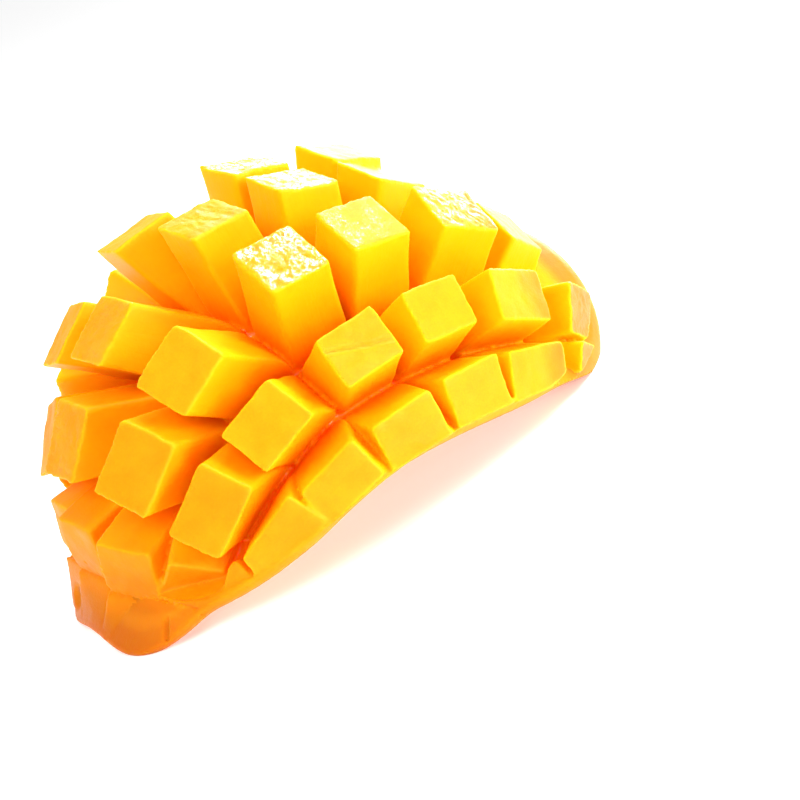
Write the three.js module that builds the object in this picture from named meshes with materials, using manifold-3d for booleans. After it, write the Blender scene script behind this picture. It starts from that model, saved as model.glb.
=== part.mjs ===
/**
 * A mango half, scored to the skin in a grid and turned inside out, as one piece of flesh and skin.
 *
 * The half is first drawn flat: a cut face in the plane z = 0, flesh below it, and a grid of knife
 * cuts. A bend of the skin then carries every cube with it, so the cubes fan apart.
 * Millimetres, +Z up. X runs from the stem tip to the beak tip and Y from the near rim to the far one.
 */
import * as THREE from "three";
import { mergeVertices } from "three/addons/utils/BufferGeometryUtils.js";
import Module from "manifold-3d";

// Knife cuts, as places on the flat cut face, and how far they lean sideways by their height.
const CUTS_ACROSS = [-32, -16.5, -2, 13, 29, 47];
const CUTS_ALONG = [-28, -16.5, -3.5, 9, 20.5];
const CUT_WIDTH = 0.6;
const SLANT = { along: -0.3, across: 0.055 };

// Where the flesh at the stem tip gets too thin to cut; it stays in one with the cubes beside it.
const STEM_BAND = -46;

// Outline of the skin around the cut face, and how far inside it the cubes end.
const OUTLINE = { x: -2, y: -1, stem: 58.5, beak: 67, near: 37.7, far: 35, power: 3.2, skew: -0.062 };
const RIM = { stem: 2, beak: 2.5, near: 1, far: 1.5 };

// Depth of the flesh under the cut face.
const FLESH = { x: 15, y: 1, stem: 59.5, beak: 56, near: 39.5, far: 41, depth: 26 };
const ROUNDING = { power: 2.6, edge: 0.48, rim: 0.08 };

// Bend of the skin when the half is turned inside out, in radians by millimetres along the skin: an
// even bend and a twist, an arch from rim to rim, a curl of the far rim, and a sharp fold across.
const BEND = { start: -0.265, along: 0.0072, startAcross: -0.19, across: -0.036, twist: -0.0032 };
const ARCH = { angle: 1.68, width: 24.8 };
const FAR_CURL = { angle: 0.9, from: 40 };
const FOLD = { at: -4.6, width: 3.7, angle: 0.243, farGain: 0.0042 };

// Skin and the web of flesh that the knife leaves on it, which rises to the cut face at the rim.
const SKIN_THICK = 3;
const RIM_THICK = 1.2;
const WEB_THICK = 0.8;
const RIM_FROM = 0.84;

// Cubes reach a little into the web, bend only near their roots, and are soft where the flesh is thin.
const ROOT_DEPTH = 1;
const ROOT_SHARPNESS = 4;
const SOFT_DEPTH = 2.5;
const STIFF_DEPTH = 8;

// Cubes that stand off the even fan: leans and turn in degrees, rise in millimetres.
const UNEVEN_CUBES = [
  { row: 0, column: 1, along: 14, across: 5, turn: 11, rise: -1 },
  { row: 0, column: 2, along: -3, across: -4, turn: 8 },
  { row: 0, column: 3, along: -11, across: -3, turn: 2, rise: 1 },
  { row: 0, column: 4, along: -1, turn: 1, rise: -0.5 },
  { row: 0, column: 5, along: -9, turn: -6 },
  { row: 1, column: 0, along: -2, across: -13, turn: 15, rise: -4 },
  { row: 1, column: 1, along: -2, across: 4, turn: 10 },
  { row: 1, column: 2, along: -5, across: 3, turn: 5 },
  { row: 1, column: 3, along: -7, across: 2, turn: 1, rise: 2 },
  { row: 1, column: 4, along: 2, across: 3, turn: 1, rise: 0.5 },
  { row: 1, column: 5, along: 3, turn: -4 },
  { row: 1, column: 6, along: -3, across: -8, turn: -3 },
  { row: 2, column: 0, along: -8, across: -4, turn: 11, rise: 1 },
  { row: 2, column: 1, along: -3, across: -1, turn: 2, rise: 2 },
  { row: 2, column: 2, along: -7, across: 1, turn: 2, rise: 2 },
  { row: 2, column: 3, along: -6, across: 4, turn: -3, rise: 1.5 },
  { row: 2, column: 4, along: -1, across: 6, turn: 1, rise: 0.5 },
  { row: 2, column: 5, along: 1, across: 4, turn: -2 },
  { row: 2, column: 6, along: -7, across: 12, turn: 8, rise: -3 },
  { row: 3, column: 0, along: -6, across: 3, turn: -2, rise: 1.5 },
  { row: 3, column: 1, along: -3, across: 11, turn: -6, rise: 1 },
  { row: 3, column: 2, along: -2, across: 10, turn: -4, rise: -0.5 },
  { row: 3, column: 3, along: -4, across: 2, turn: -1, rise: -1 },
  { row: 3, column: 4, along: 2, across: 1, turn: -3, rise: -0.5 },
  { row: 3, column: 5, along: 4, across: 2, turn: 10, rise: -2.5 },
  { row: 3, column: 6, across: 13, rise: -5 },
  { row: 4, column: 1, along: 6, across: 9, turn: -1, rise: -2.5 },
  { row: 4, column: 2, along: 3, across: 5, turn: -7, rise: -2 },
  { row: 4, column: 3, along: -14, across: -4, turn: -9, rise: -0.5 },
  { row: 4, column: 4, across: -20, turn: 1, rise: 3 },
  { row: 4, column: 5, along: -3, across: -22, turn: 11, rise: 3.5 },
  { row: 4, column: 6, across: 20, rise: -7 },
  { row: 5, column: 0, along: -5, across: 5, rise: -7 },
];
const FAR_ROW = { along: 14, across: 14, rise: -7 };

// How the piece rests on its skin: turns about X and Y in degrees, and the depth of its flat spots.
const REST = { aboutX: 11.8, aboutY: 6.6, flat: 0.9 };

// How finely the curved surfaces are cut into facets.
const RINGS = 11;
const SPOKES = 72;
const SPOKE_ANGLES = Array.from({ length: SPOKES }, (_, spoke) => (spoke / SPOKES) * 2 * Math.PI);
const WALL_LEVELS = [0, 0.5, 0.8, 1];
const LONGEST_SIDE = 6;
const SMALLEST_FACE = 14;
const STEP = 0.5;
const UP = new THREE.Vector3(0, 0, 1);

// A block that is larger than the piece each way, for cutting the flat spots.
const GROUND = { side: 300, depth: 100 };

const { degToRad, lerp, smoothstep } = THREE.MathUtils;

const wasm = await Module();
wasm.setup();

/** Depth of the knife cuts below the cut face. */
function cutDepth(x, y) {
  const dx = x - FLESH.x;
  const dy = y - FLESH.y;
  const along = Math.abs(dx) / (dx < 0 ? FLESH.stem : FLESH.beak);
  const across = Math.abs(dy) / (dy < 0 ? FLESH.near : FLESH.far);
  const out = (along ** OUTLINE.power + across ** OUTLINE.power) ** (ROUNDING.power / OUTLINE.power);
  const inside = (1 - out + Math.hypot(1 - out, ROUNDING.rim)) / 2;
  return FLESH.depth * inside ** ROUNDING.edge;
}

/** Slopes of the fruit's own surface along X and Y, before it is turned inside out. */
function ownSlopes(x, y) {
  const along = (cutDepth(x - STEP, y) - cutDepth(x + STEP, y)) / (2 * STEP);
  const across = (cutDepth(x, y - STEP) - cutDepth(x, y + STEP)) / (2 * STEP);
  return [along, across];
}

/** Integral of a function from 0 to an end, by the trapezium rule. */
function integrate(rate, end, parts = 16) {
  const step = end / parts;
  let sum = (rate(0) + rate(end)) / 2;
  for (let part = 1; part < parts; part++) sum += rate(part * step);
  return sum * step;
}

/** Length of the skin from the line x = 0 to a point, and from the line y = 0 to it. */
function skinLengths(x, y) {
  const along = integrate((v) => Math.hypot(1, ownSlopes(v, y)[0]), x);
  const across = integrate((v) => Math.hypot(1, ownSlopes(x, v)[1]), y);
  return [along, across];
}

/** Angle that the turned skin falls towards +X, at a length along it and a place across. */
function fallAlong(length, y) {
  const fold = (FOLD.angle + FOLD.farGain * y) * Math.tanh((length - FOLD.at) / FOLD.width);
  return BEND.start + BEND.along * length + BEND.twist * y + fold;
}

/** Angle that the turned skin falls towards +Y. */
function fallAcross(length, x) {
  const arch = ARCH.angle * Math.tanh(length / ARCH.width);
  const curl = FAR_CURL.angle * Math.max(length / FAR_CURL.from, 0) ** 3;
  return BEND.startAcross + BEND.across * length + BEND.twist * x + arch + curl;
}

/** Where the turned skin carries a point of the flat half, at the bottom of the cuts. */
function turnedSkin(x, y) {
  const [along, across] = skinLengths(x, y);
  const fallen = integrate((v) => Math.sin(fallAlong(v, y)), along);
  const fallenAcross = integrate((v) => Math.sin(fallAcross(v, x)), across);
  return new THREE.Vector3(
    integrate((v) => Math.cos(fallAlong(v, y)), along),
    integrate((v) => Math.cos(fallAcross(v, x)), across),
    BEND.twist * x * y - fallen - fallenAcross,
  );
}

/** How the skin turns the flesh standing on it: the fruit's own slope undone, then the new bend. */
function turnedFrame(x, y, { along: leanAlong = 0, across: leanAcross = 0 } = {}) {
  const [slopeAlong, slopeAcross] = ownSlopes(x, y);
  const [along, across] = skinLengths(x, y);
  const tiltAlong = Math.atan(slopeAlong) + fallAlong(along, y) + degToRad(leanAlong);
  const tiltAcross = Math.atan(slopeAcross) + fallAcross(across, x) + degToRad(leanAcross);
  const axis = new THREE.Vector3(-tiltAcross, tiltAlong, 0);
  return new THREE.Quaternion().setFromAxisAngle(axis.clone().normalize(), axis.length());
}

/** How far the slant of the cuts moves flesh sideways at a height above the skin. */
function slanted(height) {
  return new THREE.Vector3(SLANT.along * height, SLANT.across * height, 0);
}

/** A point at a depth below the cut face, where the flesh bends evenly with the skin. */
function bentPoint(x, y, depth) {
  const height = cutDepth(x, y) - depth;
  return slanted(height).setZ(height).applyQuaternion(turnedFrame(x, y)).add(turnedSkin(x, y));
}

/** Outward normal of the turned skin, on its flesh side. */
function skinNormal(x, y) {
  const along = turnedSkin(x + STEP, y).sub(turnedSkin(x - STEP, y));
  const across = turnedSkin(x, y + STEP).sub(turnedSkin(x, y - STEP));
  return along.cross(across).normalize();
}

/** A point at a share of the way from the oval's centre to its edge, inset by a rim. */
function ovalPoint(angle, share, rim = { stem: 0, beak: 0, near: 0, far: 0 }) {
  const cos = Math.cos(angle);
  const sin = Math.sin(angle);
  const halfLength = cos < 0 ? OUTLINE.stem - rim.stem : OUTLINE.beak - rim.beak;
  const halfWidth = sin < 0 ? OUTLINE.near - rim.near : OUTLINE.far - rim.far;
  const along = Math.sign(cos) * Math.abs(cos) ** (2 / OUTLINE.power);
  const across = Math.sign(sin) * Math.abs(sin) ** (2 / OUTLINE.power);
  const x = OUTLINE.x + share * halfLength * along;
  return [x, OUTLINE.y + share * halfWidth * across + OUTLINE.skew * x];
}

/** Keeps the part of a polygon where a coordinate times a sign is below a limit times that sign. */
function clip(polygon, coordinate, limit, sign) {
  const kept = [];
  polygon.forEach((point, index) => {
    const next = polygon[(index + 1) % polygon.length];
    const here = sign * (limit - point[coordinate]);
    const there = sign * (limit - next[coordinate]);
    if (here >= 0) kept.push(point);
    if (here * there < 0) {
      const share = here / (here - there);
      kept.push([point[0] + share * (next[0] - point[0]), point[1] + share * (next[1] - point[1])]);
    }
  });
  return kept;
}

/** Area and centre of a polygon. */
function measure(polygon) {
  let area = 0;
  let x = 0;
  let y = 0;
  polygon.forEach((point, index) => {
    const next = polygon[(index + 1) % polygon.length];
    const cross = point[0] * next[1] - next[0] * point[1];
    area += cross / 2;
    x += ((point[0] + next[0]) * cross) / 6;
    y += ((point[1] + next[1]) * cross) / 6;
  });
  return { area, x: x / area, y: y / area };
}

/** Halves the long sides of a polygon, so that its walls can follow the skin. */
function halveSides(polygon) {
  return polygon.flatMap((point, index) => {
    const next = polygon[(index + 1) % polygon.length];
    const long = Math.hypot(next[0] - point[0], next[1] - point[1]) > LONGEST_SIDE;
    return long ? [point, [(point[0] + next[0]) / 2, (point[1] + next[1]) / 2]] : [point];
  });
}

/** A closed geometry from vertices and triangles. */
function closedGeometry(points, triangles) {
  return new THREE.BufferGeometry().setFromPoints(points).setIndex(triangles.flat());
}

/** A closed geometry as a solid, for joining and cutting. */
function toSolid(geometry) {
  const vertProperties = geometry.getAttribute("position").array;
  const triVerts = new Uint32Array(geometry.index.array);
  return new wasm.Manifold(new wasm.Mesh({ numProp: 3, vertProperties, triVerts }));
}

/** A solid as an indexed geometry. */
function toGeometry(solid) {
  const { numVert, numProp, vertProperties, triVerts } = solid.getMesh();
  const places = new Float32Array(numVert * 3);
  for (let vertex = 0; vertex < numVert; vertex++) {
    places.set(vertProperties.subarray(vertex * numProp, vertex * numProp + 3), vertex * 3);
  }
  const geometry = new THREE.BufferGeometry();
  geometry.setAttribute("position", new THREE.BufferAttribute(places, 3));
  return geometry.setIndex(new THREE.BufferAttribute(new Uint32Array(triVerts), 1));
}

/** Triangles of the bands between rings of points, each ring following the one before. */
function bands(ringStarts, count) {
  const triangles = [];
  for (let level = 0; level + 1 < ringStarts.length; level++) {
    for (let place = 0; place < count; place++) {
      const after = (place + 1) % count;
      const [upper, lower] = [ringStarts[level], ringStarts[level + 1]];
      triangles.push([upper + place, lower + place, lower + after]);
      triangles.push([upper + place, lower + after, upper + after]);
    }
  }
  return triangles;
}

/** One cube of flesh: a flat piece of the cut face, straight walls, and a root that bends with the skin. */
function makeCube(footprint, { x: midX, y: midY }, stance) {
  const sides = halveSides(footprint);
  const frame = turnedFrame(midX, midY, stance);
  const foot = turnedSkin(midX, midY);
  const midDepth = cutDepth(midX, midY);
  const rise = stance.rise ?? 0;
  const turn = degToRad(stance.turn ?? 0);
  const place = (x, y, level, height) => {
    const upright = new THREE.Vector3(x - midX, y - midY, height + rise * (1 - level));
    const turned = upright.applyAxisAngle(UP, turn).add(slanted(midDepth * (1 - level)));
    return turned.applyQuaternion(frame).add(foot);
  };
  const points = [];
  const ringStarts = [];
  for (const level of WALL_LEVELS) {
    ringStarts.push(points.length);
    for (const [x, y] of sides) {
      const depth = level * cutDepth(x, y);
      const softness = 1 - smoothstep(cutDepth(x, y), SOFT_DEPTH, STIFF_DEPTH);
      const stiff = place(x, y, level, midDepth - depth);
      const root = bentPoint(x, y, depth).addScaledVector(skinNormal(x, y), level === 1 ? -ROOT_DEPTH : 0);
      points.push(stiff.lerp(root, Math.max(level ** ROOT_SHARPNESS, softness)));
    }
  }
  const triangles = bands(ringStarts, sides.length);
  const top = points.push(place(midX, midY, 0, midDepth)) - 1;
  const bottom = points.push(foot.clone().addScaledVector(skinNormal(midX, midY), -ROOT_DEPTH)) - 1;
  const lowest = ringStarts.at(-1);
  sides.forEach((_, side) => {
    const after = (side + 1) % sides.length;
    triangles.push([top, side, after]);
    triangles.push([bottom, lowest + after, lowest + side]);
  });
  return toSolid(closedGeometry(points, triangles));
}

/** Every cube of the grid that has enough of a face left inside the rim. */
function makeCubes() {
  const face = SPOKE_ANGLES.map((angle) => ovalPoint(angle, 1, RIM));
  const half = CUT_WIDTH / 2;
  const edgesAcross = [-Infinity, ...CUTS_ACROSS, Infinity];
  const edgesAlong = [-Infinity, ...CUTS_ALONG, Infinity];
  const cubes = [];
  for (let column = 0; column + 1 < edgesAcross.length; column++) {
    for (let row = 0; row + 1 < edgesAlong.length; row++) {
      let footprint = clip(face, 0, edgesAcross[column] + half, -1);
      footprint = clip(footprint, 0, edgesAcross[column + 1] - half, 1);
      footprint = clip(footprint, 1, edgesAlong[row] + half, -1);
      footprint = clip(footprint, 1, edgesAlong[row + 1] - half, 1);
      if (footprint.length < 3 || measure(footprint).area < SMALLEST_FACE) continue;
      const uneven = UNEVEN_CUBES.find((cube) => cube.row === row && cube.column === column);
      const stance = uneven ?? (row === CUTS_ALONG.length ? FAR_ROW : {});
      cubes.push(makeCube(footprint, measure(clip(footprint, 0, STEM_BAND, -1)), stance));
    }
  }
  return cubes;
}

/** The skin with its web of flesh, whose rim rises to the cut face. */
function makeSkin() {
  const rimShare = (share) => smoothstep(share, RIM_FROM, 1);
  const points = [];
  const ringStarts = [];
  const ring = (share, place) => {
    ringStarts.push(points.length);
    for (const angle of SPOKE_ANGLES) {
      const [x, y] = ovalPoint(angle, share);
      points.push(place(x, y, share));
    }
  };
  const upper = (x, y, share) => {
    const depth = cutDepth(x, y);
    return bentPoint(x, y, (depth - WEB_THICK) * (1 - rimShare(share)));
  };
  const lower = (x, y, share) => {
    const thick = lerp(SKIN_THICK, RIM_THICK, rimShare(share));
    return turnedSkin(x, y).addScaledVector(skinNormal(x, y), -thick);
  };
  for (let step = 1; step <= RINGS; step++) ring(step / RINGS, upper);
  for (let step = RINGS; step >= 1; step--) ring(step / RINGS, lower);
  const triangles = bands(ringStarts, SPOKES);
  const middleTop = points.push(upper(OUTLINE.x, OUTLINE.y, 0)) - 1;
  const middleBottom = points.push(lower(OUTLINE.x, OUTLINE.y, 0)) - 1;
  const last = ringStarts.at(-1);
  for (let spoke = 0; spoke < SPOKES; spoke++) {
    const after = (spoke + 1) % SPOKES;
    triangles.push([middleTop, spoke, after]);
    triangles.push([middleBottom, last + after, last + spoke]);
  }
  return toSolid(closedGeometry(points, triangles));
}

/** Turns the piece to the way it rests, cuts its flat spots and puts the origin under its middle. */
function setDown(solid) {
  const turned = toGeometry(solid).rotateX(degToRad(REST.aboutX)).rotateY(degToRad(REST.aboutY));
  turned.computeBoundingBox();
  turned.translate(0, 0, -turned.boundingBox.min.z - REST.flat);
  const block = new THREE.BoxGeometry(GROUND.side, GROUND.side, GROUND.depth);
  block.translate(0, 0, -GROUND.depth / 2).deleteAttribute("normal").deleteAttribute("uv");
  const resting = toGeometry(toSolid(turned).subtract(toSolid(mergeVertices(block))));
  resting.computeBoundingBox();
  const middle = resting.boundingBox.getCenter(new THREE.Vector3());
  return resting.translate(-middle.x, -middle.y, 0);
}

const flesh = new THREE.MeshStandardMaterial({ color: 0xffb80f, roughness: 0.35, metalness: 0 });
const whole = makeCubes().reduce((joined, cube) => joined.add(cube), makeSkin());
const half = new THREE.Mesh(setDown(whole), flesh);
half.name = "mango_half";

const group = new THREE.Group();
group.add(half);
export default group;
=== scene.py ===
"""Dresses the mango half: scored into cubes, turned inside out and lying on its own skin.

The shape follows how such a piece is made. A flat half has an outline, a depth of flesh and knife
cuts. The skin is then bent, and carries every cube of flesh with it. Lengths are in millimetres
until a mesh is made, and the X axis runs from the stem tip to the beak tip. Patches of the skin and
of every cube are joined into one mesh, which then gets its relief and, from the patches, the values
that its finish is painted by.
"""

from __future__ import annotations

import logging
import math
from dataclasses import dataclass, field
from enum import Enum
from typing import Callable, Mapping, Sequence

import bpy
import numpy as np
from mathutils import Matrix, Vector, noise
from mathutils.bvhtree import BVHTree


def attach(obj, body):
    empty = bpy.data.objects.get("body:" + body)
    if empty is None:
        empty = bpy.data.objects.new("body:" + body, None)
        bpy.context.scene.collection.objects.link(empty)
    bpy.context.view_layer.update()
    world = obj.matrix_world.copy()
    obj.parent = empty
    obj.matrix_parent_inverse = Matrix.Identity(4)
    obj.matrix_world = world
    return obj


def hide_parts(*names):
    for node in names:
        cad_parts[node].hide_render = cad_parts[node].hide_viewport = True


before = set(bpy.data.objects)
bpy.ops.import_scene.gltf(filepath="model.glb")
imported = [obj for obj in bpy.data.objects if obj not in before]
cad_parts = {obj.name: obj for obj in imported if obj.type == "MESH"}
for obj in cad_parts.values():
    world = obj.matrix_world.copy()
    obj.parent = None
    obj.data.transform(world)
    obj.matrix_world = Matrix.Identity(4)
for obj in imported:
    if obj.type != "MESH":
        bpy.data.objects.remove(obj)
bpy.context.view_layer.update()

LOG = logging.getLogger("mango")
MM = 0.001
NOISE_SEED = 7
Array = np.ndarray
Colour = tuple[float, float, float]
WHITE: Colour = (1.0, 1.0, 1.0)


def smoothstep(value: Array | float, low: float, high: float) -> Array:
    """Returns 0 below low, 1 above high and a smooth step between them."""
    share = np.clip((np.asarray(value, float) - low) / (high - low), 0.0, 1.0)
    return share * share * (3.0 - 2.0 * share)


def integrate(rate: Callable[[Array], Array], end: Array, parts: int = 16) -> Array:
    """Integrates a function from 0 to each end, by the trapezium rule.

    Args:
        rate: Takes places of shape (points, parts + 1) and returns the rate there.
        end: The end of each integral.
        parts: Number of parts.

    Returns:
        One integral for each end.
    """
    places = end[:, None] * np.linspace(0.0, 1.0, parts + 1)[None, :]
    values = rate(places)
    inner = values[:, 1:-1].sum(axis=1) + (values[:, 0] + values[:, -1]) / 2.0
    return inner * end / parts


def rotate(turns: Array, vectors: Array) -> Array:
    """Turns vectors by axis-angle vectors.

    Args:
        turns: Axis times angle, of shape (points, 3).
        vectors: The vectors to turn, of shape (points, 3).

    Returns:
        The turned vectors.
    """
    angle = np.linalg.norm(turns, axis=1, keepdims=True)
    axis = turns / np.maximum(angle, 1e-9)
    along = (axis * vectors).sum(axis=1, keepdims=True)
    cos, sin = np.cos(angle), np.sin(angle)
    return vectors * cos + np.cross(axis, vectors) * sin + axis * along * (1.0 - cos)


def wander(points: Array, scale: float, seed: float) -> Array:
    """Returns smooth noise vectors at points.

    Args:
        points: Points of shape (points, 3).
        scale: Size of the noise's features.
        seed: Moves the noise, so that each use has its own.

    Returns:
        Vectors within about -1 to 1, of shape (points, 3).
    """
    shift = Vector((seed, 0.7 * seed, -seed))
    return np.array([noise.noise_vector(Vector(p) / scale + shift) for p in points])


def ripple(points: Array, scale: float, seed: float) -> Array:
    """Returns one smooth noise value within about -1 to 1 at each point.

    Args:
        points: Points of shape (points, 3).
        scale: Size of the noise's features.
        seed: Moves the noise, so that each use has its own.

    Returns:
        The values, of shape (points,).
    """
    shift = Vector((seed, -seed, 0.3 * seed))
    return np.array([noise.noise(Vector(p) / scale + shift) for p in points])


class CutFace(Enum):
    """How the cut face of a cube looks: what is on it and how wet it is, from 0 to 1."""

    SMOOTH = ("smooth", 0.0)
    FINE = ("fine wrinkles", 0.3)
    WET = ("wet fibres", 1.0)
    DEWY = ("a few wet dots", 0.35)
    SPLIT = ("a thin crack", 0.04)

    @property
    def wetness(self) -> float:
        """Returns how wet the face is, from 0 to 1."""
        return self.value[1]


@dataclass(frozen=True)
class Stance:
    """How one cube stands off the even fan.

    Attributes:
        along: Lean towards +X, in degrees.
        across: Lean towards +Y, in degrees.
        turn: Turn about its own upright, in degrees.
        rise: How far its face stands above the even depth.
    """

    along: float = 0.0
    across: float = 0.0
    turn: float = 0.0
    rise: float = 0.0


FAR_ROW = 5
EVEN = Stance()
EVEN_FAR = Stance(along=14, across=14, rise=-7)
STANCES: dict[tuple[int, int], Stance] = {
    (0, 1): Stance(along=14, across=5, turn=11, rise=-1),
    (0, 2): Stance(along=-3, across=-4, turn=8),
    (0, 3): Stance(along=-11, across=-3, turn=2, rise=1),
    (0, 4): Stance(along=-1, turn=1, rise=-0.5),
    (0, 5): Stance(along=-9, turn=-6),
    (1, 0): Stance(along=-2, across=-13, turn=15, rise=-4),
    (1, 1): Stance(along=-2, across=4, turn=10),
    (1, 2): Stance(along=-5, across=3, turn=5),
    (1, 3): Stance(along=-7, across=2, turn=1, rise=2),
    (1, 4): Stance(along=2, across=3, turn=1, rise=0.5),
    (1, 5): Stance(along=3, turn=-4),
    (1, 6): Stance(along=-3, across=-8, turn=-3),
    (2, 0): Stance(along=-8, across=-4, turn=11, rise=1),
    (2, 1): Stance(along=-3, across=-1, turn=2, rise=2),
    (2, 2): Stance(along=-7, across=1, turn=2, rise=2),
    (2, 3): Stance(along=-6, across=4, turn=-3, rise=1.5),
    (2, 4): Stance(along=-1, across=6, turn=1, rise=0.5),
    (2, 5): Stance(along=1, across=4, turn=-2),
    (2, 6): Stance(along=-7, across=12, turn=8, rise=-3),
    (3, 0): Stance(along=-6, across=3, turn=-2, rise=1.5),
    (3, 1): Stance(along=-3, across=11, turn=-6, rise=1),
    (3, 2): Stance(along=-2, across=10, turn=-4, rise=-0.5),
    (3, 3): Stance(along=-4, across=2, turn=-1, rise=-1),
    (3, 4): Stance(along=2, across=1, turn=-3, rise=-0.5),
    (3, 5): Stance(along=4, across=2, turn=10, rise=-2.5),
    (3, 6): Stance(across=13, rise=-5),
    (4, 0): Stance(along=10, across=-7, turn=-10, rise=-1),
    (4, 1): Stance(along=6, across=9, turn=-1, rise=-2.5),
    (4, 2): Stance(along=3, across=5, turn=-7, rise=-2),
    (4, 3): Stance(along=-14, across=-4, turn=-9, rise=-0.5),
    (4, 4): Stance(across=-20, turn=1, rise=3),
    (4, 5): Stance(along=-3, across=-22, turn=11, rise=3.5),
    (4, 6): Stance(across=20, rise=-7),
    (5, 0): Stance(along=-5, across=5, rise=-7),
}
CUT_FACES: dict[tuple[int, int], CutFace] = {
    (2, 3): CutFace.WET,
    (3, 4): CutFace.WET,
    (2, 5): CutFace.WET,
    (4, 4): CutFace.WET,
    (2, 4): CutFace.DEWY,
    (3, 3): CutFace.FINE,
    (1, 3): CutFace.SPLIT,
    (3, 2): CutFace.FINE,
    (3, 1): CutFace.FINE,
    (1, 6): CutFace.FINE,
}


@dataclass(frozen=True)
class FlatHalf:
    """The half before it is turned inside out: its outline, its flesh and the cuts in it."""

    cuts_across: tuple[float, ...] = (-32.0, -16.5, -2.0, 13.0, 29.0, 47.0)
    cuts_along: tuple[float, ...] = (-28.0, -16.5, -3.5, 9.0, 20.5)
    cut_width: float = 0.6
    middle_x: float = -2.0
    middle_y: float = -1.0
    stem: float = 58.5
    beak: float = 67.0
    near: float = 37.7
    far: float = 35.0
    power: float = 3.2
    skew: float = -0.062
    deepest_x: float = 15.0
    deepest_y: float = 1.0
    depth_stem: float = 59.5
    depth_beak: float = 56.0
    depth_near: float = 39.5
    depth_far: float = 41.0
    depth: float = 26.0
    rounding: float = 2.6
    edge: float = 0.48
    rim: float = 0.08
    step: float = 0.5
    band_from: float = -44.5
    band_to: float = -59.0
    hollow_middle: tuple[float, float] = (-53.6, 13.8)
    hollow_reach: tuple[float, float] = (4.0, 3.8)
    hollow_floor: float = 0.45
    hollow_depth: float = 1.1
    groove_cut: float = -18.0
    groove_from: float = -43.0
    groove_slant: float = 0.85
    groove_width: float = 0.8
    groove_depth: float = 0.7
    groove_start: float = 2.0
    groove_fade: tuple[float, float] = (9.0, 13.0)
    tone_middle: float = 0.42
    tone_reach: float = 100.0

    def cut_depth(self, x: Array, y: Array) -> Array:
        """Works out how deep the flesh is.

        Args:
            x: Places along the half.
            y: Places across it.

        Returns:
            The depth of the cuts below the cut face.
        """
        dx = x - self.deepest_x
        dy = y - self.deepest_y
        along = np.abs(dx) / np.where(dx < 0, self.depth_stem, self.depth_beak)
        across = np.abs(dy) / np.where(dy < 0, self.depth_near, self.depth_far)
        out = (along**self.power + across**self.power) ** (self.rounding / self.power)
        inside = (1.0 - out + np.hypot(1.0 - out, self.rim)) / 2.0
        return self.depth * inside**self.edge

    def stem_hollow(self, place: Array) -> Array:
        """Returns 1 in the hollow that the stem leaves at the tip, and 0 away from it."""
        out = np.linalg.norm((place[:, :2] - self.hollow_middle) / self.hollow_reach, axis=1)
        return 1.0 - smoothstep(out, self.hollow_floor, 1.0)

    def tip_marks(self, place: Array) -> Array:
        """Lays out the hollow of the stem and the end of a cut beside it.

        Args:
            place: Places in the flat half, of shape (points, 3).

        Returns:
            How deep the marks go into the flesh.
        """
        along = self.groove_from - place[:, 0]
        across = place[:, 1] - self.groove_cut + self.groove_slant * along
        fading = smoothstep(along, 0.0, self.groove_start) * (1.0 - smoothstep(along, *self.groove_fade))
        groove = self.groove_depth * fading * np.exp(-((across / self.groove_width) ** 2))
        return groove + self.hollow_depth * self.stem_hollow(place)

    def tone(self, x: Array | float, drift: float = 0.0) -> Array:
        """Returns how orange the flesh is along the half, from 0 for yellow to 1 for deep orange."""
        return np.clip(self.tone_middle - x / self.tone_reach + drift, 0.0, 1.0)

    def slopes(self, x: Array, y: Array) -> tuple[Array, Array]:
        """Works out how steep the fruit's own surface is.

        Args:
            x: Places along the half.
            y: Places across it.

        Returns:
            The slopes along X and along Y.
        """
        step = self.step
        along = (self.cut_depth(x - step, y) - self.cut_depth(x + step, y)) / (2.0 * step)
        across = (self.cut_depth(x, y - step) - self.cut_depth(x, y + step)) / (2.0 * step)
        return along, across

    def oval(self, angle: Array, share: float, inset: Sequence[float] = (0, 0, 0, 0)) -> Array:
        """Finds points between the middle of the outline and its edge.

        Args:
            angle: Angles about the middle, in radians.
            share: Share of the way to the edge.
            inset: How far inside the outline the edge is, at the stem, beak, near and far side.

        Returns:
            Points of shape (points, 2).
        """
        cos, sin = np.cos(angle), np.sin(angle)
        half_length = np.where(cos < 0, self.stem - inset[0], self.beak - inset[1])
        half_width = np.where(sin < 0, self.near - inset[2], self.far - inset[3])
        along = np.sign(cos) * np.abs(cos) ** (2.0 / self.power)
        across = np.sign(sin) * np.abs(sin) ** (2.0 / self.power)
        x = self.middle_x + share * half_length * along
        return np.stack([x, self.middle_y + share * half_width * across + self.skew * x], axis=1)


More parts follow.
